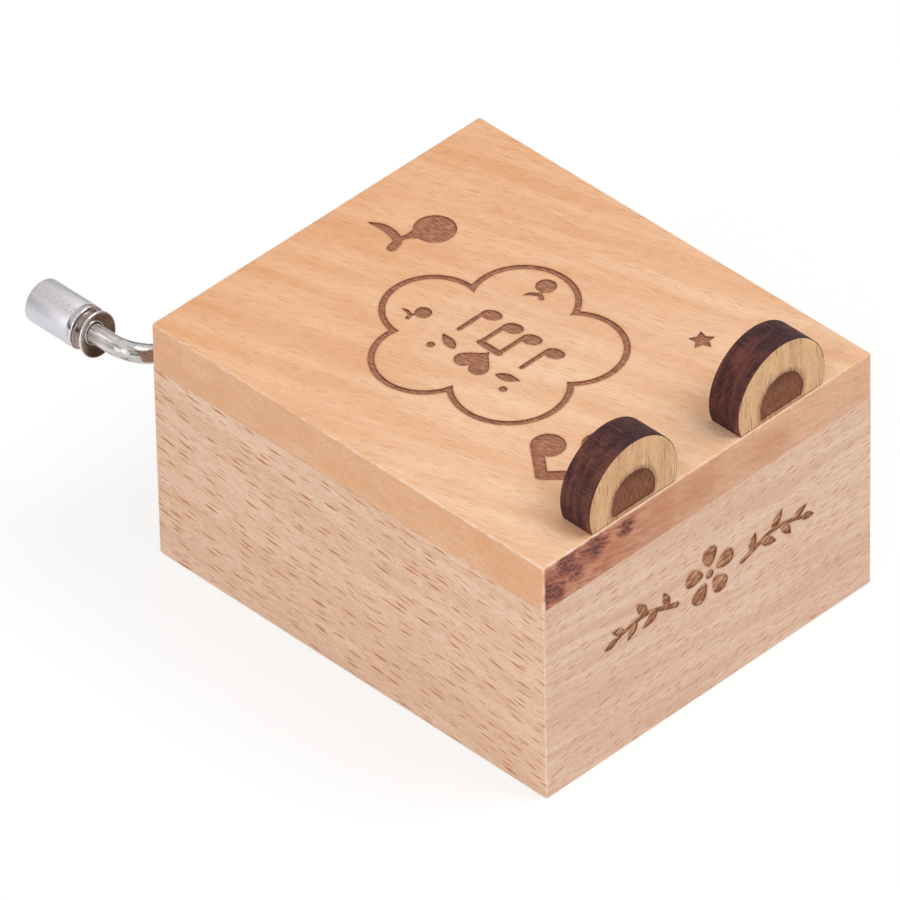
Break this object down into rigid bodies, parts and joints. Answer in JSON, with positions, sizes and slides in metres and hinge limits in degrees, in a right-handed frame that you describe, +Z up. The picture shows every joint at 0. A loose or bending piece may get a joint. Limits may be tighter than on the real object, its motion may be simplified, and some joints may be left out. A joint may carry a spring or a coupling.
{
  "type": "hand crank music box",
  "caption": "Small mitred wooden box with half-round ears on its lid, burned-in ornament, a pinned-cylinder comb movement inside and a bent metal crank with a loose knob.",
  "frame": {"origin": "under the middle of the box, on the flat face that it stands on", "axes": "+Z up, +Y out of the back wall where the crank comes out, -Y the front under the ears, +X to the right seen from the front"},
  "size_m": [0.0552, 0.0845, 0.0444],
  "materials": {
    "beech": "sanded and waxed",
    "ear_wood": "sanded, with a charred rim",
    "panel_wood": "sanded",
    "crank_nickel": "polished",
    "knob_metal": "satin turned",
    "brass": "polished",
    "steel": "bright",
    "screw_steel": "zinc plated",
    "casting": "as cast"
  },
  "bodies": {
    "box": {"front_wall": "beech", "back_wall": "beech", "left_wall": "beech", "right_wall": "beech", "lid": "beech", "bottom_panel": "panel_wood", "left_ear": "ear_wood", "right_ear": "ear_wood", "panel_screw_1": "screw_steel", "panel_screw_2": "screw_steel", "panel_screw_3": "screw_steel", "panel_screw_4": "screw_steel", "movement_screw_1": "screw_steel", "movement_screw_2": "screw_steel", "movement_screw_3": "screw_steel", "bedplate": "casting", "gear_bracket": "steel", "gear_bracket_screw_1": "screw_steel", "gear_bracket_screw_2": "screw_steel", "cylinder_bracket": "steel", "cylinder_bracket_screw_1": "screw_steel", "cylinder_bracket_screw_2": "screw_steel", "comb": "steel", "comb_screw_1": "screw_steel", "comb_screw_2": "screw_steel"},
    "crank": {"worm_shaft": "steel", "crank_rod": "crank_nickel"},
    "knob": {"crank_knob": "knob_metal"},
    "cylinder": {"pinned_cylinder": "brass", "left_end_cap": "brass", "right_end_cap": "brass", "cylinder_arbor": "steel", "worm_wheel": "brass"}
  },
  "joints": [
    {"name": "crank_turn", "type": "hinge", "parent": "box", "child": "crank", "pos_m": [-0.01075, 0.037, 0.0198], "axis": [0, 1, 0], "continuous": true},
    {"name": "knob_spin", "type": "hinge", "parent": "crank", "child": "knob", "pos_m": [-0.02533, 0.0477, 0.02578], "axis": [0, 1, 0], "continuous": true},
    {"name": "cylinder_turn", "type": "hinge", "parent": "box", "child": "cylinder", "pos_m": [0.002, 0.008, 0.013], "axis": [1, 0, 0], "continuous": true}
  ],
  "couplings": [
    {"joint": "cylinder_turn", "follows": "crank_turn", "ratio": 0.05}
  ]
}
